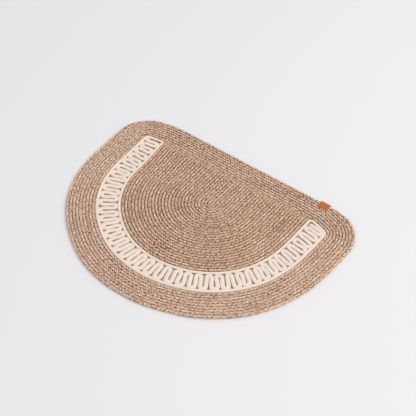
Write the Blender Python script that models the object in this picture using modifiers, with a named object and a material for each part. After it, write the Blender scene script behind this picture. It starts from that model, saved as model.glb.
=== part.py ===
# Half-moon doormat sewn from braided cord.
# A field of U-shaped rows lies inside an openwork band of pale cord, a border of rows runs
# round both, and a folded leather tab covers the end of the border's cord.
# The straight edge runs along X, the round side faces -Y and Z is up.

import math

import bmesh
import bpy
from mathutils import Vector

MM = 0.001
GAP = 0.3 * MM

# Driving dimensions
OUTER_RADIUS = 350 * MM
BORDER_ROWS = 9
BORDER_PITCH = 7.8 * MM
FIELD_ROWS = 27
FIELD_PITCH = 8.05 * MM
CORD_WIDTH = 8 * MM
STRAIGHT_Y = 107.6 * MM
ARC_FACETS = 15

# Heights across a sewn row: its flat crown, the groove beside it and the waist of an edge row
CROWN_Z = 7 * MM
GROOVE_Z = 5 * MM
WAIST_Z = 3 * MM
CROWN_START = 0.28
CROWN_END = 0.72
EDGE_INSET = 1.4 * MM

# The openwork: how far its cord swings, and what widens its outer bends
OUTER_BENDS = 40
FIRST_BEND_Y = 91.2 * MM
LAST_BEND_Y = 82.8 * MM
BEND_BULGE = 3.74 * MM
OUTER_BULGE = 0.16 * MM
BEND_STEP = 30
FIRST_LEAN = 5 * MM
LAST_LEAN = -6 * MM
START_ANGLE = -12
END_ANGLE = 150

# The leather tab over the straight edge
TAB_X = 224.7 * MM
TAB_WIDTH = 26.3 * MM
TAB_TOP_END = 149 * MM
TAB_UNDER_END = 152 * MM
TAB_FOLD_Y = 167.6 * MM
LEATHER = 1.2 * MM
RECESS_Z = 2.4 * MM
FOLD_FACETS = 8

# What follows from the sizes above
INNER_RADIUS = OUTER_RADIUS - BORDER_ROWS * BORDER_PITCH
FIELD_RADIUS = FIELD_ROWS * FIELD_PITCH
FIELD_TOP = STRAIGHT_Y - GAP
BAND_OUTER = INNER_RADIUS - GAP
BAND_INNER = FIELD_RADIUS + GAP
BAND_MIDDLE = (BAND_OUTER + BAND_INNER) / 2
FACET_LOSS = BAND_OUTER * (1 - math.cos(math.pi / 4 / ARC_FACETS))
SWING = (BAND_OUTER - BAND_INNER) / 2 - 1.5 * CORD_WIDTH - GAP - FACET_LOSS / 2
TAB_FOLD_RADIUS = (CROWN_Z + GAP - LEATHER) / 2
TAB_EDGE_Y = TAB_FOLD_Y + TAB_FOLD_RADIUS + LEATHER
CENTRE_Y = (OUTER_RADIUS - TAB_EDGE_Y) / 2

# The band's ends are cut at a slant, and the border's rows follow them
RIGHT_CORNER_Y = 92 * MM
RIGHT_SHOULDER_X = 233 * MM
LEFT_CORNER_Y = 97.4 * MM
LEFT_SHOULDER_X = -218 * MM
RIGHT_CORNER_RADIUS = 16.3 * MM
RIGHT_SHOULDER_RADIUS = 16.3 * MM
LEFT_CORNER_RADIUS = 12 * MM
LEFT_SHOULDER_RADIUS = 20 * MM
RIGHT_INNER_RADIUS = 12 * MM
LEFT_INNER_RADIUS = 14 * MM

# Corners of the border's inner edge, anticlockwise from the leather tab
# name, x, y, radius, facets
BORDER_CORNERS = (
    ("left shoulder", LEFT_SHOULDER_X, STRAIGHT_Y, LEFT_SHOULDER_RADIUS, 2),
    ("left corner", -INNER_RADIUS, LEFT_CORNER_Y, LEFT_CORNER_RADIUS, 9),
    ("left arc", -INNER_RADIUS, -INNER_RADIUS, INNER_RADIUS, ARC_FACETS),
    ("right arc", INNER_RADIUS, -INNER_RADIUS, INNER_RADIUS, ARC_FACETS),
    ("right corner", INNER_RADIUS, RIGHT_CORNER_Y, RIGHT_CORNER_RADIUS, 8),
    ("right shoulder", RIGHT_SHOULDER_X, STRAIGHT_Y, RIGHT_SHOULDER_RADIUS, 3),
)

# Corners of the band's outline, anticlockwise; its two inner arcs turn the other way
# name, x, y, radius, facets
BAND_CORNERS = (
    ("left corner", -BAND_OUTER, LEFT_CORNER_Y - GAP, LEFT_CORNER_RADIUS - GAP, 6),
    ("left arc", -BAND_OUTER, -BAND_OUTER, BAND_OUTER, ARC_FACETS),
    ("right arc", BAND_OUTER, -BAND_OUTER, BAND_OUTER, ARC_FACETS),
    ("right corner", BAND_OUTER, RIGHT_CORNER_Y - GAP, RIGHT_CORNER_RADIUS - GAP, 6),
    ("right shoulder", RIGHT_SHOULDER_X, FIELD_TOP, RIGHT_SHOULDER_RADIUS - GAP, 2),
    ("right end", BAND_INNER, FIELD_TOP, RIGHT_INNER_RADIUS, 6),
    ("right inner arc", BAND_INNER, -BAND_INNER, BAND_INNER, ARC_FACETS),
    ("left inner arc", -BAND_INNER, -BAND_INNER, BAND_INNER, ARC_FACETS),
    ("left end", -BAND_INNER, FIELD_TOP, LEFT_INNER_RADIUS, 6),
)

# The last stretch of the field's legs, where the rows turn back and the field's corners
# widen to meet the rounded ends of the band
# distance below the top, widening on the right, widening on the left, drop of the left corner
LEG_ENDS = (
    (18 * MM, 0.0, 0.0, 0.0),
    (12 * MM, 0.0, 0.3 * MM, 0.0),
    (8 * MM, 0.3 * MM, 1.9 * MM, 0.0),
    (4 * MM, 1.8 * MM, 5.6 * MM, 0.0),
    (0.0, 7.2 * MM, 4.6 * MM, 1.2 * MM),
)

# Colours, as linear values, and roughness
# name, red, green, blue, roughness
MELANGE = ("melange cord", 0.47, 0.31, 0.22, 0.85)
CREAM = ("cream cord", 0.82, 0.74, 0.62, 0.85)
TAN = ("tan leather", 0.50, 0.15, 0.03, 0.5)


def clear_scene():
    for thing in list(bpy.data.objects):
        bpy.data.objects.remove(thing, do_unlink=True)
    for group in list(bpy.data.collections):
        bpy.data.collections.remove(group)


def new_collection(name):
    group = bpy.data.collections.new(name)
    bpy.context.scene.collection.children.link(group)
    return group


def new_material(finish):
    name, red, green, blue, roughness = finish
    material = bpy.data.materials.new(name)
    material.use_nodes = True
    shader = material.node_tree.nodes["Principled BSDF"]
    shader.inputs["Base Color"].default_value = (red, green, blue, 1)
    shader.inputs["Roughness"].default_value = roughness
    shader.inputs["Metallic"].default_value = 0
    return material


def smooth(share):
    share = min(max(share, 0), 1)
    return share * share * (3 - 2 * share)


def corner_stations(name, corner, before, after, radius, facets):
    """Points round one corner of an outline, each with its outward direction."""
    arrive = (corner - before).normalized()
    leave = (after - corner).normalized()
    turn = math.atan2(arrive.x * leave.y - arrive.y * leave.x, arrive.dot(leave))
    side = math.copysign(1, turn)
    outward = Vector((arrive.y, -arrive.x))
    start = corner - arrive * radius * math.tan(abs(turn) / 2)
    centre = start - outward * radius * side
    found = []
    for step in range(facets + 1):
        share = step / facets
        cosine, sine = math.cos(turn * share), math.sin(turn * share)
        direction = Vector(
            (outward.x * cosine - outward.y * sine, outward.x * sine + outward.y * cosine)
        )
        found.append((name, share, centre + direction * radius * side, direction))
    return found


def outline_stations(corners):
    """Stations round a closed outline of rounded corners, without repeated points."""
    found = []
    for i, (name, x, y, radius, facets) in enumerate(corners):
        before = Vector(corners[i - 1][1:3])
        after = Vector(corners[(i + 1) % len(corners)][1:3])
        for station in corner_stations(name, Vector((x, y)), before, after, radius, facets):
            if not found or (station[2] - found[-1][2]).length > GAP / 10:
                found.append(station)
    return found


def row_section(widths, pitch):
    """Offsets and heights across sewn rows, each row at its share of the full width."""
    points = [(0, GROOVE_Z)]
    start = 0
    for width in widths:
        crown = GROOVE_Z + (CROWN_Z - GROOVE_Z) * width
        points.append((start + CROWN_START * pitch * width, crown))
        points.append((start + CROWN_END * pitch * width, crown))
        start += pitch * width
        points.append((start, GROOVE_Z))
    return points


def sheet(name, rows):
    """A grid of faces whose points are moved to the given rows, with doubles merged."""
    mesh = bmesh.new()
    across, along = len(rows[0]), len(rows)
    bmesh.ops.create_grid(mesh, x_segments=across - 1, y_segments=along - 1, size=1)
    mesh.verts.ensure_lookup_table()
    for i, row in enumerate(rows):
        for j, place in enumerate(row):
            mesh.verts[i * across + j].co = place
    bmesh.ops.remove_doubles(mesh, verts=mesh.verts, dist=0.05 * MM)
    return mesh


def close_below(mesh):
    """Fills the open edges that lie on the floor."""
    open_edges = [
        edge
        for edge in mesh.edges
        if edge.is_boundary and all(abs(vertex.co.z) < GAP / 10 for vertex in edge.verts)
    ]
    bmesh.ops.triangle_fill(mesh, edges=open_edges, use_beauty=True, normal=(0, 0, -1))
    bmesh.ops.recalc_face_normals(mesh, faces=mesh.faces)


def add_object(name, mesh, finish, group):
    data = bpy.data.meshes.new(name)
    mesh.to_mesh(data)
    mesh.free()
    data.shade_smooth()
    data.set_sharp_from_angle(angle=math.radians(50))
    piece = bpy.data.objects.new(name, data)
    piece.location.y = CENTRE_Y
    data.materials.append(new_material(finish))
    group.objects.link(piece)
    return piece


def border_widths(name, share, point, outward):
    """The share of its full width that each border row has at a station.

    The innermost row starts at the band's left corner. The outermost one thins out on the
    right corner and ends under the tab, so the straight side has one row fewer.
    """
    first = last = 1
    if name in ("tab start", "left shoulder"):
        first = 0
    if name == "left corner":
        first = smooth(share)
    if name == "tab end":
        last = 0
    if name in ("right corner", "right shoulder"):
        fade_from, fade_to = 240 * MM, 300 * MM
        reach = point.x + outward.x * (BORDER_ROWS - 1) * BORDER_PITCH
        last = smooth((reach - fade_from) / (fade_to - fade_from))
    return [first] + [1] * (BORDER_ROWS - 2) + [last]


def border(group, cutters):
    tab = Vector((TAB_X, STRAIGHT_Y))
    up = Vector((0, 1))
    stations = [("tab start", 0, tab, up)]
    stations += outline_stations(BORDER_CORNERS)
    stations += [("tab end", 1, tab, up)]
    rows = []
    for station in stations:
        _, _, point, outward = station
        section = row_section(border_widths(*station), BORDER_PITCH)
        edge = section[-1][0]
        section = [(0, 0), *section, (edge, WAIST_Z), (edge - EDGE_INSET, 0)]
        rows.append([(*(point + outward * offset), height) for offset, height in section])
    mesh = sheet("border", rows)
    close_below(mesh)
    piece = add_object("border", mesh, MELANGE, group)
    recess(piece, cutters)
    return piece


def recess(piece, cutters):
    """Makes room under the border's edge for the tab's lower flap."""
    past_edge = 5 * MM
    low_y = TAB_UNDER_END - GAP
    high_y = TAB_EDGE_Y + past_edge
    mesh = bmesh.new()
    bmesh.ops.create_cube(mesh, size=1)
    bmesh.ops.scale(mesh, vec=(TAB_WIDTH + 2 * GAP, high_y - low_y, 2 * RECESS_Z), verts=mesh.verts)
    bmesh.ops.translate(mesh, vec=(TAB_X, (low_y + high_y) / 2, 0), verts=mesh.verts)
    cutter = add_object("tab_recess_cutter", mesh, TAN, cutters)
    cutter.hide_render = True
    cutter.display_type = "WIRE"
    cut = piece.modifiers.new("tab recess", "BOOLEAN")
    cut.operation = "DIFFERENCE"
    cut.solver = "EXACT"
    cut.object = cutter


def field_row(section, place, turned_side, below_top, widening, drop):
    """One row of field points, with the grooves filled where two rows turn into each other."""
    last_start = (FIELD_ROWS - 1) * FIELD_PITCH
    turn_back = 5 * MM
    points = []
    for index, (offset, height) in enumerate(section):
        row_number, in_row = divmod(index, 3)
        share = max(0, (offset - last_start) / FIELD_PITCH)
        joined = in_row == 0 and row_number % 2 == turned_side and 0 < row_number < FIELD_ROWS
        if joined and below_top < turn_back:
            height = CROWN_Z
        if below_top < GAP:
            height = GROOVE_Z
        x, y = place(offset + share * widening)
        points.append((x, y - share * drop, height))
    foot = points[-1]
    points.append((foot[0], foot[1], 0))
    return points


def field(group):
    section = row_section([1] * FIELD_ROWS, FIELD_PITCH)
    rows = []
    for below, wide, _, _ in reversed(LEG_ENDS):
        level = FIELD_TOP - below
        rows.append(field_row(section, lambda u, y=level: (u, y), 1, below, wide, 0))
    for step in range(2 * ARC_FACETS + 1):
        angle = -math.pi / 2 * step / ARC_FACETS
        cosine, sine = math.cos(angle), math.sin(angle)
        rows.append(
            field_row(section, lambda u, c=cosine, s=sine: (u * c, u * s), 1, 1, 0, 0)
        )
    for below, _, wide, drop in LEG_ENDS:
        level = FIELD_TOP - below
        rows.append(field_row(section, lambda u, y=level: (-u, y), 0, below, wide, drop))
    mesh = sheet("field", rows)
    close_end(mesh)
    close_below(mesh)
    return add_object("field", mesh, MELANGE, group)


def close_end(mesh):
    """Closes the field's straight end with one upright wall."""
    above = FIELD_TOP - 2 * MM
    wall = [
        edge
        for edge in mesh.edges
        if edge.is_boundary and all(vertex.co.y > above for vertex in edge.verts)
    ]
    feet = [v for v in {v for e in wall for v in e.verts} if v.co.z < GAP / 10]
    wall.append(mesh.edges.new(feet))
    bmesh.ops.triangle_fill(mesh, edges=wall, use_beauty=True, normal=(0, 1, 0))


def cord(name, points, closed, group):
    """A pale cord laid flat: a tube of six sides that rests on one of them."""
    half_height = CORD_WIDTH / 2 * math.cos(math.pi / 6)
    data = bpy.data.curves.new(name, "CURVE")
    data.dimensions = "3D"
    data.twist_mode = "Z_UP"
    data.bevel_depth = CORD_WIDTH / 2
    data.bevel_resolution = 1
    data.use_fill_caps = not closed
    spline = data.splines.new("POLY")
    spline.points.add(len(points) - 1)
    for point, (x, y) in zip(spline.points, points):
        point.co = (x, y, half_height, 1)
    spline.use_cyclic_u = closed
    data.materials.append(new_material(CREAM))
    piece = bpy.data.objects.new(name, data)
    piece.location.y = CENTRE_Y
    group.objects.link(piece)
    return piece


def band_frame(group):
    half = CORD_WIDTH / 2
    points = [point - outward * half for _, _, point, outward in outline_stations(BAND_CORNERS)]
    return cord("band_frame", points, True, group)


def band_place(along, across):
    """A point of the band: how far along its middle line, and how far out from it."""
    radius = BAND_MIDDLE + across
    arc_length = math.pi * BAND_MIDDLE
    if along < FIRST_BEND_Y:
        return -radius, FIRST_BEND_Y - along
    if along > FIRST_BEND_Y + arc_length:
        return radius, along - FIRST_BEND_Y - arc_length
    angle = math.pi + (along - FIRST_BEND_Y) / BAND_MIDDLE
    return radius * math.cos(angle), radius * math.sin(angle)


def band_meander(group):
    length = FIRST_BEND_Y + math.pi * BAND_MIDDLE + LAST_BEND_Y
    period = length / (OUTER_BENDS - 1)
    first_fades, last_grows, last_full = 110 * MM, 600 * MM, 860 * MM
    last_angle = 360 * (OUTER_BENDS - 1) + END_ANGLE
    angles = [START_ANGLE, *range(BEND_STEP, last_angle, BEND_STEP), last_angle]
    points = []
    for degrees in angles:
        angle = math.radians(degrees)
        across = SWING * math.cos(angle)
        along = period * degrees / 360
        lean = FIRST_LEAN * (1 - smooth(along / first_fades))
        lean += LAST_LEAN * smooth((along - last_grows) / (last_full - last_grows))
        along += BEND_BULGE * math.sin(2 * angle) + OUTER_BULGE * math.sin(angle)
        along += lean * (across / SWING + 1) / 2
        points.append(band_place(along, across))
    return cord("band_meander", points, False, group)


def label(group):
    """A leather strip folded round the straight edge, one flap above and one below."""
    top_z = CROWN_Z + GAP
    fold_z = LEATHER + TAB_FOLD_RADIUS
    line = [(TAB_UNDER_END, LEATHER)]
    for step in range(FOLD_FACETS + 1):
        angle = math.pi * (step / FOLD_FACETS - 0.5)
        line.append(
            (
                TAB_FOLD_Y + TAB_FOLD_RADIUS * math.cos(angle),
                fold_z + TAB_FOLD_RADIUS * math.sin(angle),
            )
        )
    line.append((TAB_TOP_END, top_z))
    left, right = TAB_X - TAB_WIDTH / 2, TAB_X + TAB_WIDTH / 2
    mesh = sheet("label", [[(x, y, z) for y, z in line] for x in (left, right)])
    bmesh.ops.recalc_face_normals(mesh, faces=mesh.faces)
    piece = add_object("label", mesh, TAN, group)
    wall = piece.modifiers.new("leather", "SOLIDIFY")
    wall.thickness = LEATHER
    wall.offset = 1
    wall.use_even_offset = True
    return piece


def main():
    clear_scene()
    group = new_collection("half_moon_doormat")
    cutters = new_collection("cutters")
    field(group)
    border(group, cutters)
    band_frame(group)
    band_meander(group)
    label(group)


main()
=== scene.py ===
# Half-moon doormat of sewn braided cord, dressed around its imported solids.
import math

import bmesh
import bpy
from mathutils import Matrix, Vector, noise


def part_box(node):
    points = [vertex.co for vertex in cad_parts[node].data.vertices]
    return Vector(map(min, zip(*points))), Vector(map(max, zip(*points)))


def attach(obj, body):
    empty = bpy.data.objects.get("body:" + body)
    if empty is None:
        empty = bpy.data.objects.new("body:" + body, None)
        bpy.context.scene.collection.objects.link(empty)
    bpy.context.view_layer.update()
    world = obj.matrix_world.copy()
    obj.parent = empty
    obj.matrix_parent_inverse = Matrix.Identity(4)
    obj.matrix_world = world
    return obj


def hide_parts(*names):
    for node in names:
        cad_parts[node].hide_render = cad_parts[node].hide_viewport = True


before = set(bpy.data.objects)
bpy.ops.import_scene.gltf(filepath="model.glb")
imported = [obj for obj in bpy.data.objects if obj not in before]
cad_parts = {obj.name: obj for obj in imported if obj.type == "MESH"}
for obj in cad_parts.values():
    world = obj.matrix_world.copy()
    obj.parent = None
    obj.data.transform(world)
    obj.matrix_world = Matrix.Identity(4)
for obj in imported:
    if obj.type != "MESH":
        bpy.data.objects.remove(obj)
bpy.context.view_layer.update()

mm = 0.001
print("scene: frame loaded,", len(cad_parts), "nodes")

# The mat's plan in metres, measured from the centre of its round side
plan = dict(
    outerRadius=350 * mm,
    borderRows=9,
    borderPitch=7.8 * mm,
    fieldRows=27,
    fieldPitch=8.05 * mm,
    straightY=107.6 * mm,
    gap=0.3 * mm,
    leftCornerY=97.4 * mm,
    rightCornerY=92 * mm,
    leftShoulderX=-218 * mm,
    rightShoulderX=233 * mm,
)
borderDepth = plan["borderRows"] * plan["borderPitch"]
borderInner = plan["outerRadius"] - borderDepth
fieldRadius = plan["fieldRows"] * plan["fieldPitch"]
fieldTop = plan["straightY"] - plan["gap"]
bandOuter = borderInner - plan["gap"]
bandInner = fieldRadius + plan["gap"]
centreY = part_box("border")[0].y + plan["outerRadius"]

# Corners of the border's inner edge, anticlockwise: name, x, y, radius
borderCorners = [
    ("leftCorner", -borderInner, plan["leftCornerY"], 12 * mm),
    ("leftArc", -borderInner, -borderInner, borderInner),
    ("rightArc", borderInner, -borderInner, borderInner),
    ("rightCorner", borderInner, plan["rightCornerY"], 16.3 * mm),
    ("rightShoulder", plan["rightShoulderX"], plan["straightY"], 16.3 * mm),
    ("leftShoulder", plan["leftShoulderX"], plan["straightY"], 20 * mm),
]

# Corners of the band's outline, anticlockwise; its inner arcs turn the other way
bandCorners = [
    ("leftCorner", -bandOuter, plan["leftCornerY"] - plan["gap"], 11.7 * mm),
    ("leftArc", -bandOuter, -bandOuter, bandOuter),
    ("rightArc", bandOuter, -bandOuter, bandOuter),
    ("rightCorner", bandOuter, plan["rightCornerY"] - plan["gap"], 16 * mm),
    ("rightShoulder", plan["rightShoulderX"], fieldTop, 16 * mm),
    ("rightEnd", bandInner, fieldTop, 12 * mm),
    ("rightInnerArc", bandInner, -bandInner, bandInner),
    ("leftInnerArc", -bandInner, -bandInner, bandInner),
    ("leftEnd", -bandInner, fieldTop, 9 * mm),
]


def smooth(share):
    share = min(max(share, 0), 1)
    return share * share * (3 - 2 * share)


# Sewn by hand, the round side is not quite true: direction in degrees, mm that the edge is out
unevenness = [
    (0, -1.8),
    (8, 0.4),
    (20, 0),
    (150, 0),
    (171, -1.4),
    (184, -4.4),
    (193, -2.4),
    (203, 0.2),
    (216, 1.6),
    (234, 0.1),
    (252, 1.8),
    (263, 0.5),
    (276, -1.1),
    (290, -1.9),
    (302, 0.9),
    (320, 2.5),
    (332, 1.5),
    (345, -1.9),
    (354, -3.0),
    (360, -1.8),
]

# The band's left end leans outwards: mm to the left of the middle, mm that it is shifted left
leftEnd = [
    (0, 0),
    (228, 9),
    (279, 4),
    (350, 0),
]
leftEndLength = 100 * mm


def evenly(share):
    return share


def tableShift(table, at, ease=smooth):
    for (start, startShift), (end, endShift) in zip(table, table[1:]):
        if start <= at <= end:
            share = ease((at - start) / (end - start))
            return (startShift + (endShift - startShift) * share) * mm
    return 0


def handLaid(x, y):
    # moves a point of the plan in or out, most at the mat's edge, and leans the band's left end
    shift = tableShift(unevenness, math.degrees(math.atan2(y, x)) % 360)
    grown = 1 + shift * math.hypot(x, y) / plan["outerRadius"] ** 2
    leaned = tableShift(leftEnd, -x / mm) * smooth(y / leftEndLength)
    return x * grown - leaned, y * grown


def outlineStations(corners, step, reach):
    # points round a closed outline of rounded corners: name, share of the corner, point, outward
    stations = []
    samePlace = 0.01 * mm
    fewestParts = 4

    def straightTo(target):
        _, _, point, outward = stations[-1]
        run = target - point
        parts = math.ceil(run.length / step)
        for part in range(1, parts):
            stations.append(("straight", part / parts, point + run * part / parts, outward))

    for i, (name, x, y, radius) in enumerate(corners):
        corner = Vector((x, y))
        arrive = (corner - Vector(corners[i - 1][1:3])).normalized()
        leave = (Vector(corners[(i + 1) % len(corners)][1:3]) - corner).normalized()
        turn = math.atan2(arrive.x * leave.y - arrive.y * leave.x, arrive.dot(leave))
        side = math.copysign(1, turn)
        outward = Vector((arrive.y, -arrive.x))
        start = corner - arrive * radius * math.tan(abs(turn) / 2)
        centre = start - outward * radius * side
        if stations:
            straightTo(start)
        parts = max(fewestParts, math.ceil((radius + reach) * abs(turn) / step))
        for part in range(parts + 1):
            out = Matrix.Rotation(turn * part / parts, 2) @ outward
            point = centre + out * radius * side
            if not stations or (point - stations[-1][2]).length > samePlace:
                stations.append((name, part / parts, point, out))
    straightTo(stations[0][2])
    return stations


# Cords: every piece but the tab is one long cord, laid along its path and made a mesh.
# A path is a list of x, y and share of full thickness. The cord's own map holds the metres
# along it and the share of the way round it: half way is the top.
wanderScale = 14
wanderSeed = 0.37
elsewhere = Vector((5, 9, 2))
soleHeight = 1 * mm


def cordSection(width, height, sides, squareness):
    data = bpy.data.curves.new("cordSection", "CURVE")
    data.dimensions = "2D"
    ring = data.splines.new("POLY")
    ring.points.add(sides - 1)
    for i, point in enumerate(ring.points):
        angle = 2 * math.pi * i / sides - math.pi / 2
        c, s = math.cos(angle), math.sin(angle)
        x = math.copysign(abs(c) ** (2 / squareness), c) * width / 2
        y = math.copysign(abs(s) ** (2 / squareness), s) * height / 2
        point.co = (x, y, 0, 1)
    ring.use_cyclic_u = True
    section = bpy.data.objects.new("cordSection", data)
    bpy.context.scene.collection.objects.link(section)
    return section


def layCord(name, path, look, closed=False):
    section = cordSection(look["width"], look["height"], look["sides"], look["squareness"])
    data = bpy.data.curves.new(name + "Path", "CURVE")
    data.dimensions = "3D"
    data.twist_mode = "Z_UP"
    data.bevel_mode = "OBJECT"
    data.bevel_object = section
    line = data.splines.new("POLY")
    line.points.add(len(path) - 1)
    for point, (x, y, share) in zip(line.points, path):
        x, y = handLaid(x, y)
        seed = Vector((x, y, wanderSeed)) * wanderScale
        wander = Vector((noise.noise(seed), noise.noise(seed + elsewhere))) * look["wander"]
        point.co = (x + wander.x, y + wander.y + centreY, look["height"] / 2 * share, 1)
        point.radius = share
    line.use_cyclic_u = closed
    guide = bpy.data.objects.new(name + "Path", data)
    bpy.context.scene.collection.objects.link(guide)
    seen = guide.evaluated_get(bpy.context.evaluated_depsgraph_get())
    mesh = bpy.data.meshes.new_from_object(seen)
    mesh.name = name
    for spare in (guide, section):
        bpy.data.objects.remove(spare)

    # the cord's own map, worked out from the rings' order
    along, total = [], 0
    for i, (x, y, _) in enumerate(path):
        if i:
            total += math.dist((x, y), path[i - 1][:2])
        along.append(total)
    if closed:
        along.append(total + math.dist(path[-1][:2], path[0][:2]))
    sides, rings = look["sides"], len(path)
    for layer in list(mesh.uv_layers):
        mesh.uv_layers.remove(layer)
    cordMap = mesh.uv_layers.new(name="cordMap")
    for face in mesh.polygons:
        corners = [divmod(mesh.loops[i].vertex_index, sides) for i in face.loop_indices]
        lastRing = max(ring for ring, _ in corners) == rings - 1
        lastSide = max(side for _, side in corners) == sides - 1
        for i, (ring, side) in zip(face.loop_indices, corners):
            if closed and lastRing and ring == 0:
                ring = rings
            if lastSide and side == 0:
                side = sides
            cordMap.data[i].uv = (along[ring], side / sides)

    bm = bmesh.new()
    bm.from_mesh(mesh)
    openEdges = [edge for edge in bm.edges if edge.is_boundary]
    bmesh.ops.holes_fill(bm, edges=openEdges, sides=sides)
    bmesh.ops.recalc_face_normals(bm, faces=bm.faces)
    bm.normal_update()
    for vertex in bm.verts:
        lump = noise.noise(vertex.co * look["lumpScale"]) * look["lump"]
        if vertex.co.z > soleHeight:
            vertex.co += vertex.normal * lump
    bm.to_mesh(mesh)
    bm.free()
    for face in mesh.polygons:
        face.use_smooth = True
    piece = bpy.data.objects.new(name, mesh)
    bpy.context.scene.collection.objects.link(piece)
    print("scene:", name, "cord", round(total, 2), "m,", len(mesh.polygons), "faces")
    return piece


# Field: one cord laid back and forth in U-shaped rows, turning back at the straight edge
fieldLook = dict(
    width=8.0 * mm,
    height=7.0 * mm,
    sides=12,
    squareness=2.3,
    wander=0.4 * mm,
    lump=0.3 * mm,
    lumpScale=130,
    step=5 * mm,
    turnSteps=12,
    turnSquareness=0.55,
    turnOverlap=1.8 * mm,
    endGap=1 * mm,
    fewestArcSteps=10,
    fillDepth=12 * mm,
    fillHeight=5.9 * mm,
    fillReach=226 * mm,
    fillMapHeight=25 * mm,
    cornerReach=14 * mm,
    cornerLean=4 * mm,
    leaningRows=2,
    leanGrowsOver=1.5,
)


def fieldPath():
    pitch, step = plan["fieldPitch"], fieldLook["step"]
    turnY = fieldTop + fieldLook["turnOverlap"] - pitch / 2 - fieldLook["width"] / 2
    path, side = [], -1
    for row in range(plan["fieldRows"]):
        radius = (row + 0.5) * pitch
        legSteps = math.ceil(turnY / step)
        arcSteps = max(fieldLook["fewestArcSteps"], math.ceil(math.pi * radius / step))
        top = fieldTop - fieldLook["endGap"] if row == 0 else turnY
        path += [(side * radius, top * (1 - i / legSteps), 1) for i in range(legSteps)]
        for i in range(arcSteps + 1):
            angle = math.pi * i / arcSteps
            path.append((side * radius * math.cos(angle), -radius * math.sin(angle), 1))
        last = row == plan["fieldRows"] - 1
        top = fieldTop - fieldLook["endGap"] if last else turnY
        path += [(-side * radius, top * i / legSteps, 1) for i in range(1, legSteps + 1)]
        side = -side
        if not last:
            turns, squareness = fieldLook["turnSteps"], fieldLook["turnSquareness"]
            for i in range(1, turns):
                angle = math.pi * i / turns
                c = math.copysign(abs(math.cos(angle)) ** squareness, math.cos(angle))
                x = radius + pitch / 2 * (1 - c)
                y = turnY + pitch / 2 * math.sin(angle) ** squareness
                path.append((side * x, y, 1))
    # the outer corners lean out to meet the band's rounded ends
    leaned = []
    leanFrom = fieldLook["leaningRows"] * pitch
    for x, y, share in path:
        outer = smooth((abs(x) - fieldRadius + leanFrom) / (fieldLook["leanGrowsOver"] * pitch))
        lean = smooth((y - fieldTop + fieldLook["cornerReach"]) / fieldLook["cornerReach"])
        lean *= outer * fieldLook["cornerLean"]
        leaned.append((x + math.copysign(lean, x), y, share))
    return leaned


def fillTurns(piece):
    # the turns are sewn so tight that no floor shows between them and the border
    low, high = fieldTop - fieldLook["fillDepth"], fieldTop + fieldLook["turnOverlap"] / 2
    bm = bmesh.new()
    bm.from_mesh(piece.data)
    made = bmesh.ops.create_cube(bm, size=1)["verts"]
    size = (2 * fieldLook["fillReach"], high - low, fieldLook["fillHeight"])
    bmesh.ops.scale(bm, verts=made, vec=size)
    bmesh.ops.translate(bm, verts=made, vec=(0, (low + high) / 2, fieldLook["fillHeight"] / 2))
    for vertex in made:
        x, y = handLaid(vertex.co.x, vertex.co.y)
        vertex.co.xy = (x, y + centreY)
    cordMap = bm.loops.layers.uv["cordMap"]
    for face in {face for vertex in made for face in vertex.link_faces}:
        for loop in face.loops:
            x, y, _ = loop.vert.co
            loop[cordMap].uv = (x, 0.5 + (y - low - centreY) / fieldLook["fillMapHeight"])
    bm.to_mesh(piece.data)
    bm.free()


# Border: one cord wound round the band and the field, its start thinned into the band's
# left corner and its end thinned under the tab
borderLook = dict(
    width=7.9 * mm,
    height=7.0 * mm,
    sides=12,
    squareness=2.3,
    wander=0.35 * mm,
    lump=0.3 * mm,
    lumpScale=130,
    step=5 * mm,
    thinnest=0.12,
    fadeFrom=210 * mm,
    fadeTo=288 * mm,
    cornerPress=dict(leftCorner=0.075, rightCorner=0.04),
)


def borderPath():
    stations = outlineStations(borderCorners, borderLook["step"], borderDepth)
    pitch, lastRow = plan["borderPitch"], plan["borderRows"] - 1
    fadeFrom, fadeTo = borderLook["fadeFrom"], borderLook["fadeTo"]
    path = []
    for row in range(lastRow + 1):
        for name, share, point, outward in stations:
            # each turn moves out by one row on the left corner
            grown = smooth(share) if name == "leftCorner" else 1
            thick, offset = 1, row - 0.5 + grown
            if row == 0:
                thick, offset = max(grown, borderLook["thinnest"]), grown / 2
            if row == lastRow and name != "leftCorner" and point.x > 0 and point.y > 0:
                reach = point.x + outward.x * lastRow * pitch
                thick = smooth((reach - fadeFrom) / (fadeTo - fadeFrom))
                offset = lastRow + thick / 2
                if thick < borderLook["thinnest"]:
                    break
            pressed = 1 - borderLook["cornerPress"].get(name, 0) * math.sin(math.pi * share)
            place = point + outward * offset * pitch * pressed
            path.append((place.x, place.y, thick))
    return path


def rimStart(path):
    # metres along the cord where its last turn begins, level with its end
    shortestTurn = 1
    metres = [0]
    for start, end in zip(path, path[1:]):
        metres.append(metres[-1] + math.dist(start[:2], end[:2]))
    tail = path[-1][:2]
    earlier = [i for i in range(len(path)) if metres[-1] - metres[i] > shortestTurn]
    return metres[min(earlier, key=lambda i: math.dist(path[i][:2], tail))]


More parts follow.
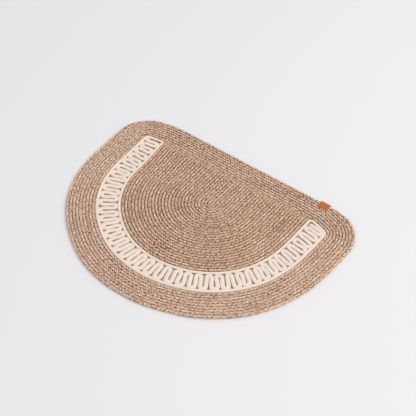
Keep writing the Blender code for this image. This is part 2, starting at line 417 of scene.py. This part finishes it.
# Band: a pale cord frames the openwork, and another winds to and fro inside it
bandLook = dict(
    width=8.0 * mm,
    height=6.9 * mm,
    sides=14,
    squareness=2.2,
    wander=0.1 * mm,
    lump=0.18 * mm,
    lumpScale=160,
    step=4 * mm,
    outerThick=1.12,
    outerBends=40,
    firstBendY=94.8 * mm,
    lastBendY=82.8 * mm,
    meanderWidth=11.9 * mm,
    innerThin=0.09,
    rightThin=0.06,
    swing=19.1 * mm,
    shift=0.1 * mm,
    bulge=2.3 * mm,
    outerBulge=0.35 * mm,
    innerBulge=0.8 * mm,
    flatness=0.1,
    bendStep=9,
    firstLean=5 * mm,
    lastLean=-6 * mm,
    firstFades=110 * mm,
    lastGrows=600 * mm,
    lastFull=860 * mm,
    strandLean=3.2 * mm,
    strandSpan=200,
    strandSeed=(3.1, 7.7),
    startAngle=-12,
    endAngle=150,
)

# Its strands are wound by hand: mm along the band, mm that they lie past their even places
handWound = [
    (-100, 0),
    (0, 0.5),
    (45, 3.4),
    (75, 6),
    (120, 8),
    (230, 8),
    (290, 11.6),
    (385, 12.2),
    (430, 10),
    (505, 9.8),
    (585, 16),
    (690, 16.8),
    (735, 15),
    (800, 9.8),
    (850, 7),
    (930, 6),
    (958, 4),
    (972, 0),
    (1100, 0),
]


def framePath():
    path = []
    for _, _, point, outward in outlineStations(bandCorners, bandLook["step"], 0):
        # the outer side is a little thicker than the rest
        radius = math.hypot(point.x, min(point.y, 0))
        outer = smooth((radius - bandInner) / (bandOuter - bandInner))
        thick = 1 + (bandLook["outerThick"] - 1) * outer
        place = point - outward * bandLook["width"] * thick / 2
        path.append((place.x, place.y, thick))
    return path


def meanderPath():
    look = bandLook
    middle = (bandOuter + bandInner) / 2 + look["shift"]
    arcLength = math.pi * middle
    length = look["firstBendY"] + arcLength + look["lastBendY"]
    period = length / (look["outerBends"] - 1)
    lastAngle = 360 * (look["outerBends"] - 1) + look["endAngle"]
    path = []
    for degrees in [*range(look["startAngle"], lastAngle, look["bendStep"]), lastAngle]:
        angle = math.radians(degrees)
        across = math.cos(angle) - look["flatness"] * math.cos(3 * angle)
        across *= look["swing"] / (1 - look["flatness"])
        along = period * degrees / 360
        atRight = smooth((along - look["lastGrows"]) / (look["lastFull"] - look["lastGrows"]))
        lean = look["firstLean"] * (1 - smooth(along / look["firstFades"]))
        lean += look["lastLean"] * atRight
        inner = (1 - math.cos(angle)) / 2
        along += (look["bulge"] + look["innerBulge"] * inner) * math.sin(2 * angle)
        along += look["outerBulge"] * math.sin(angle)
        along += lean * (across / look["swing"] + 1) / 2
        along += tableShift(handWound, along / mm, ease=evenly)
        # no two strands lean quite alike
        seed = Vector((degrees / look["strandSpan"], *look["strandSeed"]))
        along += noise.noise(seed) * look["strandLean"] * across / look["swing"]
        radius = middle + across
        if along < look["firstBendY"]:
            place = (-radius, look["firstBendY"] - along)
        elif along > look["firstBendY"] + arcLength:
            place = (radius, along - look["firstBendY"] - arcLength)
        else:
            turned = math.pi + (along - look["firstBendY"]) / middle
            place = (radius * math.cos(turned), radius * math.sin(turned))
        thick = 1 - look["innerThin"] * inner - look["rightThin"] * atRight
        path.append((*place, thick))
    return path


# Materials: small helpers that each add a node or two

def newMaterial(name):
    material = bpy.data.materials.new(name)
    material.use_nodes = True
    tree = material.node_tree
    return material, tree, tree.nodes["Principled BSDF"]


def calc(tree, operation, *values):
    node = tree.nodes.new("ShaderNodeMath")
    node.operation = operation
    for socket, value in zip(node.inputs, values):
        if isinstance(value, (int, float)):
            socket.default_value = value
        else:
            tree.links.new(value, socket)
    return node.outputs[0]


def blendColours(tree, share, first, second):
    node = tree.nodes.new("ShaderNodeMix")
    node.data_type = "RGBA"
    # a mix node keeps its two colours in sockets 6 and 7
    for i, value in ((0, share), (6, first), (7, second)):
        socket = node.inputs[i]
        if isinstance(value, (int, float)):
            socket.default_value = value
        elif isinstance(value, tuple):
            socket.default_value = (*value, 1)
        else:
            tree.links.new(value, socket)
    return node.outputs[2]


def fineNoise(tree, vector, detail, scale=1):
    node = tree.nodes.new("ShaderNodeTexNoise")
    node.inputs["Scale"].default_value = scale
    node.inputs["Detail"].default_value = detail
    tree.links.new(vector, node.inputs["Vector"])
    return node.outputs["Fac"]


def roundZero(tree, value, amount=None):
    # turns a share from 0 to 1 into one round 0
    centred = calc(tree, "SUBTRACT", value, 0.5)
    return centred if amount is None else calc(tree, "MULTIPLY", centred, amount)


def braid(tree, lay, carriers):
    # two families of carriers wind round the cord and cross over and under each other
    dipSteepness = 0.5
    cordMap = tree.nodes.new("ShaderNodeUVMap")
    cordMap.uv_map = "cordMap"
    split = tree.nodes.new("ShaderNodeSeparateXYZ")
    tree.links.new(cordMap.outputs[0], split.inputs[0])
    metres, round_ = split.outputs[0], split.outputs[1]
    turns = calc(tree, "DIVIDE", metres, lay)
    parts = {}
    for family, operation in (("right", "ADD"), ("left", "SUBTRACT")):
        place = calc(tree, "MULTIPLY", calc(tree, operation, turns, round_), carriers)
        inside = calc(tree, "FRACT", place)
        parts[family] = (
            calc(tree, "FLOOR", place),
            calc(tree, "SINE", calc(tree, "MULTIPLY", inside, math.pi)),
        )
    crossing = calc(tree, "ADD", parts["right"][0], parts["left"][0])
    over = calc(tree, "FLOORED_MODULO", crossing, 2)
    across = {}
    for family, other in (("right", "left"), ("left", "right")):
        dip = calc(tree, "POWER", parts[other][1], dipSteepness)
        across[family] = calc(tree, "MULTIPLY", parts[family][1], dip)
    height = tree.nodes.new("ShaderNodeMix")
    tree.links.new(over, height.inputs[0])
    tree.links.new(across["right"], height.inputs[2])
    tree.links.new(across["left"], height.inputs[3])
    return dict(
        metres=metres,
        round=round_,
        right=parts["right"][0],
        left=parts["left"][0],
        over=over,
        height=height.outputs[0],
        map=cordMap.outputs[0],
    )


def relief(tree, shader, height, distance, strength):
    bump = tree.nodes.new("ShaderNodeBump")
    bump.inputs["Distance"].default_value = distance
    bump.inputs["Strength"].default_value = strength
    tree.links.new(height, bump.inputs["Height"])
    tree.links.new(bump.outputs[0], shader.inputs["Normal"])


def carrierTones(tree, index, tones):
    # each carrier of one family has its own share of pale yarn
    ramp = tree.nodes.new("ShaderNodeValToRGB")
    ramp.color_ramp.interpolation = "CONSTANT"
    stops = ramp.color_ramp.elements
    while len(stops) < len(tones):
        stops.new(len(stops) / len(tones))
    for i, (stop, tone) in enumerate(zip(stops, tones)):
        stop.position = i / len(tones)
        stop.color = (tone, tone, tone, 1)
    place = calc(tree, "FLOORED_MODULO", index, len(tones))
    tree.links.new(calc(tree, "DIVIDE", calc(tree, "ADD", place, 0.5), len(tones)), ramp.inputs[0])
    return ramp.outputs[0]


def shareBetween(tree, value, start, end):
    # 0 before start, 1 past end, smooth between them
    node = tree.nodes.new("ShaderNodeMapRange")
    node.interpolation_type = "SMOOTHSTEP"
    tree.links.new(value, node.inputs["Value"])
    node.inputs["From Min"].default_value = start
    node.inputs["From Max"].default_value = end
    return node.outputs["Result"]


def stretched(tree, vector, along, across):
    node = tree.nodes.new("ShaderNodeMapping")
    node.inputs["Scale"].default_value = (along, across, 1)
    tree.links.new(vector, node.inputs["Vector"])
    return node.outputs[0]


melangeLook = dict(
    lay=21 * mm,
    carriers=8,
    rightTones=(0.3, 1.0, 1.0, 0.0, 0.1, 0.9, 0.3, 0.9),
    leftTones=(0.9, 0.0, 0.1, 1.0, 0.9, 0.3, 0.9, 0.3),
    toneShare=0.6,
    patchAlong=150,
    patchAcross=7,
    patchShare=2.2,
    slowAlong=9,
    slowShare=0.55,
    fibreAlong=900,
    fibreAcross=60,
    fibreShare=0.4,
    fibreRelief=0.3,
    pale=0.63,
    # painted shade: where round the cord the groove shade begins and is full, how it varies along
    # the row, how dark the braid's dips get, and the shade colour
    grooveFrom=0.08,
    grooveTo=0.215,
    grooveAlong=45,
    grooveUneven=1.2,
    braidShade=0.15,
    paintedShade=(0.13, 0.045, 0.009),
    turnFrom=91 * mm,
    turnTo=97 * mm,
    turnShare=0.42,
    roughness=0.85,
    specular=0.15,
    sheen=0.05,
    sheenRoughness=0.5,
    bumpDepth=0.6 * mm,
    bumpShare=0.5,
)


def melangeMaterial(name, tone, turnTint=None):
    look = melangeLook
    material, tree, shader = newMaterial(name)
    weave = braid(tree, look["lay"], look["carriers"])
    chosen = tree.nodes.new("ShaderNodeMix")
    tree.links.new(weave["over"], chosen.inputs[0])
    tree.links.new(carrierTones(tree, weave["right"], look["rightTones"]), chosen.inputs[2])
    tree.links.new(carrierTones(tree, weave["left"], look["leftTones"]), chosen.inputs[3])
    # the yarn's own patches, a slow drift along the cord and fine fibres
    patches = stretched(tree, weave["map"], look["patchAlong"], look["patchAcross"])
    patches = roundZero(tree, fineNoise(tree, patches, 2), look["patchShare"])
    slow = stretched(tree, weave["map"], look["slowAlong"], 0)
    slow = roundZero(tree, fineNoise(tree, slow, 1), look["slowShare"])
    patches = calc(tree, "ADD", patches, slow)
    fibres = stretched(tree, weave["map"], look["fibreAlong"], look["fibreAcross"])
    fibres = roundZero(tree, fineNoise(tree, fibres, 3))
    share = roundZero(tree, chosen.outputs[0], look["toneShare"])
    share = calc(tree, "ADD", share, patches)
    share = calc(tree, "ADD", share, calc(tree, "MULTIPLY", fibres, look["fibreShare"]))
    share = calc(tree, "ADD", calc(tree, "MULTIPLY", share, tone["contrast"]), look["pale"])
    share = calc(tree, "MINIMUM", calc(tree, "MAXIMUM", share, 0), 1)
    colour = blendColours(tree, share, tone["dark"], tone["light"])
    place = tree.nodes.new("ShaderNodeTexCoord")
    axes = tree.nodes.new("ShaderNodeSeparateXYZ")
    tree.links.new(place.outputs["Object"], axes.inputs[0])
    if turnTint:
        # where the rows turn back the cord is packed tight and looks one even ochre
        stripFrom, stripTo = centreY + look["turnFrom"], centreY + look["turnTo"]
        strip = shareBetween(tree, axes.outputs[1], stripFrom, stripTo)
        strip = calc(tree, "MULTIPLY", strip, look["turnShare"])
        colour = blendColours(tree, strip, colour, turnTint)
    # painted shade: between the carriers and in the grooves between rows the cord is darkened
    # towards a shade colour
    aside = calc(tree, "ABSOLUTE", roundZero(tree, weave["round"]))
    if "rimFrom" in tone:
        # the mat's rim has no groove on its outer side, so no painted shade there
        rim = calc(tree, "GREATER_THAN", weave["metres"], tone["rimFrom"])
        rim = calc(tree, "MULTIPLY", rim, calc(tree, "LESS_THAN", weave["round"], 0.5))
        aside = calc(tree, "MULTIPLY", aside, calc(tree, "SUBTRACT", 1, rim))
    uneven = stretched(tree, weave["map"], look["grooveAlong"], 0)
    uneven = roundZero(tree, fineNoise(tree, uneven, 2), look["grooveUneven"])
    shadeStrength = calc(tree, "SUBTRACT", tone["grooveShadeStrength"], uneven)
    if turnTint:
        shadeStrength = calc(tree, "MULTIPLY", shadeStrength, calc(tree, "SUBTRACT", 1, strip))
    else:
        # along the straight edge the rows are sewn tighter, and their painted groove shade is
        # darker and wider
        straightFrom, straightTo = centreY + tone["fromY"], centreY + tone["toY"]
        straight = shareBetween(tree, axes.outputs[1], straightFrom, straightTo)
        shadeStrength = calc(tree, "ADD", shadeStrength, calc(tree, "MULTIPLY", straight, tone["extraShade"]))
        aside = calc(tree, "ADD", aside, calc(tree, "MULTIPLY", straight, tone["wider"]))
    groove = shareBetween(tree, aside, look["grooveFrom"], look["grooveTo"])
    groove = calc(tree, "MINIMUM", calc(tree, "MULTIPLY", groove, shadeStrength), 1)
    groove = calc(tree, "SUBTRACT", 1, groove)
    shade = calc(tree, "MULTIPLY", weave["height"], look["braidShade"])
    shade = calc(tree, "ADD", shade, 1 - look["braidShade"])
    shade = calc(tree, "MULTIPLY", shade, groove)
    colour = blendColours(tree, shade, look["paintedShade"], colour)
    tree.links.new(colour, shader.inputs["Base Color"])
    shader.inputs["Roughness"].default_value = look["roughness"]
    shader.inputs["Specular IOR Level"].default_value = look["specular"]
    shader.inputs["Sheen Weight"].default_value = look["sheen"]
    shader.inputs["Sheen Roughness"].default_value = look["sheenRoughness"]
    height = calc(tree, "MULTIPLY", fibres, look["fibreRelief"])
    height = calc(tree, "ADD", weave["height"], height)
    relief(tree, shader, height, look["bumpDepth"], look["bumpShare"])
    return material


creamLook = dict(
    lay=26 * mm,
    carriers=8,
    # the dark end of the cream: dark strands at random, and painted shade in the braid's dips
    darkStrandAndDipShade=(0.67, 0.53, 0.42),
    pale=(1.0, 0.925, 0.815),
    dipShadeShare=0.5,
    strandShare=0.5,
    strandAlong=700,
    strandAcross=50,
    # painted shade: the brown that the cord's sides are darkened to, and where round the cord it
    # begins and is full
    aside=(0.56, 0.22, 0.034),
    asideFrom=0.165,
    asideTo=0.235,
    roughness=0.85,
    specular=0.25,
    sheen=0.15,
    bumpDepth=0.5 * mm,
    bumpShare=0.5,
)


def creamMaterial():
    look = creamLook
    material, tree, shader = newMaterial("creamBraid")
    weave = braid(tree, look["lay"], look["carriers"])
    strands = stretched(tree, weave["map"], look["strandAlong"], look["strandAcross"])
    strands = fineNoise(tree, strands, 3)
    # the braid's dips are darker, which is painted shade, and the fine strands vary in tone at
    # random
    dipShade = calc(tree, "MULTIPLY", weave["height"], look["dipShadeShare"])
    tone = calc(tree, "ADD", dipShade, calc(tree, "MULTIPLY", strands, look["strandShare"]))
    colour = blendColours(tree, tone, look["darkStrandAndDipShade"], look["pale"])
    # painted shade: the cord's sides are darkened to brown, so the slits between strands read as
    # brown lines
    aside = calc(tree, "ABSOLUTE", roundZero(tree, weave["round"]))
    aside = shareBetween(tree, aside, look["asideFrom"], look["asideTo"])
    colour = blendColours(tree, aside, colour, look["aside"])
    tree.links.new(colour, shader.inputs["Base Color"])
    shader.inputs["Roughness"].default_value = look["roughness"]
    shader.inputs["Specular IOR Level"].default_value = look["specular"]
    shader.inputs["Sheen Weight"].default_value = look["sheen"]
    relief(tree, shader, weave["height"], look["bumpDepth"], look["bumpShare"])
    return material


leatherLook = dict(
    dark=(0.34, 0.086, 0.008),
    light=(0.57, 0.172, 0.016),
    cloudScale=180,
    grainScale=1400,
    roughness=0.5,
    bumpDepth=0.15 * mm,
    bumpShare=0.4,
)


def leatherMaterial():
    look = leatherLook
    material, tree, shader = newMaterial("tanLeather")
    place = tree.nodes.new("ShaderNodeTexCoord")
    cloudy = fineNoise(tree, place.outputs["Object"], 3, look["cloudScale"])
    colour = blendColours(tree, cloudy, look["dark"], look["light"])
    grain = tree.nodes.new("ShaderNodeTexVoronoi")
    grain.feature = "DISTANCE_TO_EDGE"
    grain.inputs["Scale"].default_value = look["grainScale"]
    tree.links.new(place.outputs["Object"], grain.inputs["Vector"])
    tree.links.new(colour, shader.inputs["Base Color"])
    shader.inputs["Roughness"].default_value = look["roughness"]
    relief(tree, shader, grain.outputs["Distance"], look["bumpDepth"], look["bumpShare"])
    return material


# Tab: a leather strip folded round the straight edge
tabLook = dict(
    x=223 * mm,
    width=26.1 * mm,
    topEnd=150.2 * mm,
    underEnd=152 * mm,
    foldY=169.5 * mm,
    leather=1.2 * mm,
    topZ=7.3 * mm,
    foldSteps=12,
    flapSteps=10,
    acrossSteps=12,
    wave=0.12 * mm,
    edgeRound=0.3 * mm,
)


def makeTab():
    look = tabLook
    foldY, leather = look["foldY"], look["leather"]
    foldRadius = (look["topZ"] - leather) / 2
    foldZ = leather + foldRadius
    # the strip's inner face from below: y and height
    line = []
    for i in range(look["flapSteps"]):
        share = i / look["flapSteps"]
        line.append((look["underEnd"] + share * (foldY - look["underEnd"]), leather))
    for i in range(look["foldSteps"] + 1):
        angle = math.pi * (i / look["foldSteps"] - 0.5)
        y = foldY + foldRadius * math.cos(angle)
        line.append((y, foldZ + foldRadius * math.sin(angle)))
    for i in range(1, look["flapSteps"] + 1):
        share = i / look["flapSteps"]
        y = foldY + share * (look["topEnd"] - foldY)
        row = (plan["straightY"] - y) / plan["borderPitch"]
        line.append((y, look["topZ"] - look["wave"] * (1 - math.cos(2 * math.pi * row))))
    bm = bmesh.new()
    across, along = look["acrossSteps"], len(line)
    bmesh.ops.create_grid(bm, x_segments=across, y_segments=along - 1, size=1)
    bm.verts.ensure_lookup_table()
    for i, vertex in enumerate(bm.verts):
        row, column = divmod(i, across + 1)
        y, z = line[row]
        x = look["x"] + look["width"] * (column / across - 0.5)
        vertex.co = (x, y + centreY, z)
    bmesh.ops.recalc_face_normals(bm, faces=bm.faces)
    topFace = max(bm.faces, key=lambda face: face.calc_center_median().z)
    if topFace.normal.z < 0:
        bmesh.ops.reverse_faces(bm, faces=bm.faces)
    mesh = bpy.data.meshes.new("tab")
    bm.to_mesh(mesh)
    bm.free()
    for face in mesh.polygons:
        face.use_smooth = True
    tab = bpy.data.objects.new("tab", mesh)
    bpy.context.scene.collection.objects.link(tab)
    wall = tab.modifiers.new("leather", "SOLIDIFY")
    wall.thickness = leather
    wall.offset = 1
    soft = tab.modifiers.new("edges", "BEVEL")
    soft.width = look["edgeRound"]
    soft.segments = 2
    soft.limit_method = "ANGLE"
    print("scene: tab", along - 1, "x", across, "faces before its wall")
    return tab


# The mottled cord's tones: the border is a little paler and its painted groove shade is lighter
umber = (0.195, 0.072, 0.012)
ochre = (0.52, 0.35, 0.19)
fieldTone = dict(
    light=(0.90, 0.645, 0.485),
    dark=umber,
    contrast=2.7,
    # how dark the painted groove shade is
    grooveShadeStrength=0.85,
)
borderTone = dict(
    light=(0.92, 0.68, 0.525),
    dark=umber,
    contrast=1.75,
    grooveShadeStrength=0.54,
    # painted shade: the grooves are darkened more and wider along the straight edge, between fromY
    # and toY
    extraShade=0.4,
    wider=0.014,
    fromY=60 * mm,
    toY=110 * mm,
    rimFrom=rimStart(borderPath()),
)
fieldBraid = melangeMaterial("fieldBraid", fieldTone, ochre)
borderBraid = melangeMaterial("borderBraid", borderTone)
creamBraid = creamMaterial()
tanLeather = leatherMaterial()
print("scene: materials made")

# Pieces
field = layCord("fieldCord", fieldPath(), fieldLook)
fillTurns(field)
border = layCord("borderCord", borderPath(), borderLook)
bandFrame = layCord("bandFrameCord", framePath(), bandLook, closed=True)
meanderLook = {**bandLook, "width": bandLook["meanderWidth"]}
bandMeander = layCord("bandMeanderCord", meanderPath(), meanderLook)
tab = makeTab()

for piece, node, slot, material in (
    (field, "field", "melange_cord", fieldBraid),
    (border, "border", "melange_cord", borderBraid),
    (bandFrame, "band_frame", "cream_cord", creamBraid),
    (bandMeander, "band_meander", "cream_cord", creamBraid),
    (tab, "label", "leather", tanLeather),
):
    piece.data.materials.clear()
    piece.data.materials.append(material)
    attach(piece, "root")
    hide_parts(node)

# Floor
floorLook = dict(reach=5, colour=(0.80, 0.795, 0.80), roughness=0.9)
bm = bmesh.new()
bmesh.ops.create_grid(bm, x_segments=1, y_segments=1, size=floorLook["reach"])
floorMesh = bpy.data.meshes.new("floor")
bm.to_mesh(floorMesh)
bm.free()
floor = bpy.data.objects.new("floor", floorMesh)
bpy.context.scene.collection.objects.link(floor)
floorPaint, _, floorShader = newMaterial("paleFloor")
floorShader.inputs["Base Color"].default_value = (*floorLook["colour"], 1)
floorShader.inputs["Roughness"].default_value = floorLook["roughness"]
floorMesh.materials.append(floorPaint)

# Camera, at the photograph's angle
view = dict(
    yaw=36.67,
    pitch=45.88,
    roll=0.93,
    distance=2.449,
    targetX=1.3 * mm,
    targetY=-12.1 * mm,
    lens=87.15,
    sensor=36,
)
yaw, pitch, roll = (math.radians(view[k]) for k in ("yaw", "pitch", "roll"))
back = Vector((math.sin(yaw) * math.cos(pitch), -math.cos(yaw) * math.cos(pitch), math.sin(pitch)))
right = Vector((0, 0, 1)).cross(back).normalized()
up = back.cross(right)
tiltedRight = math.cos(roll) * right + math.sin(roll) * up
tiltedUp = math.cos(roll) * up - math.sin(roll) * right
cameraData = bpy.data.cameras.new("camera")
cameraData.lens = view["lens"]
cameraData.sensor_width = view["sensor"]
camera = bpy.data.objects.new("camera", cameraData)
bpy.context.scene.collection.objects.link(camera)
turned = Matrix((tiltedRight, tiltedUp, back)).transposed()
place = Vector((view["targetX"], view["targetY"] + centreY, 0)) + back * view["distance"]
camera.matrix_world = Matrix.Translation(place) @ turned.to_4x4()
bpy.context.scene.camera = camera

# Soft studio light: a pale room and one wide lamp from the photograph's right
room = dict(colour=(0.97, 0.97, 1.0), strength=0.79)
lamp = dict(
    energy=92,
    colour=(1.0, 0.98, 0.95),
    size=3.4,
    distance=4.6,
    azimuth=114,
    elevation=50,
)
world = bpy.data.worlds.new("studio")
bpy.context.scene.world = world
world.use_nodes = True
background = world.node_tree.nodes["Background"]
background.inputs["Color"].default_value = (*room["colour"], 1)
background.inputs["Strength"].default_value = room["strength"]
lampData = bpy.data.lights.new("wideLamp", "AREA")
lampData.energy = lamp["energy"]
lampData.size = lamp["size"]
lampData.color = lamp["colour"]
lampObject = bpy.data.objects.new("wideLamp", lampData)
bpy.context.scene.collection.objects.link(lampObject)
turn, lift = math.radians(lamp["azimuth"]), math.radians(lamp["elevation"])
aim = Vector((math.sin(turn) * math.cos(lift), -math.cos(turn) * math.cos(lift), math.sin(lift)))
lampObject.location = aim * lamp["distance"]
lampObject.rotation_euler = aim.to_track_quat("Z", "Y").to_euler()
bpy.context.scene.view_settings.view_transform = "Standard"
print("scene: floor, camera and light placed")
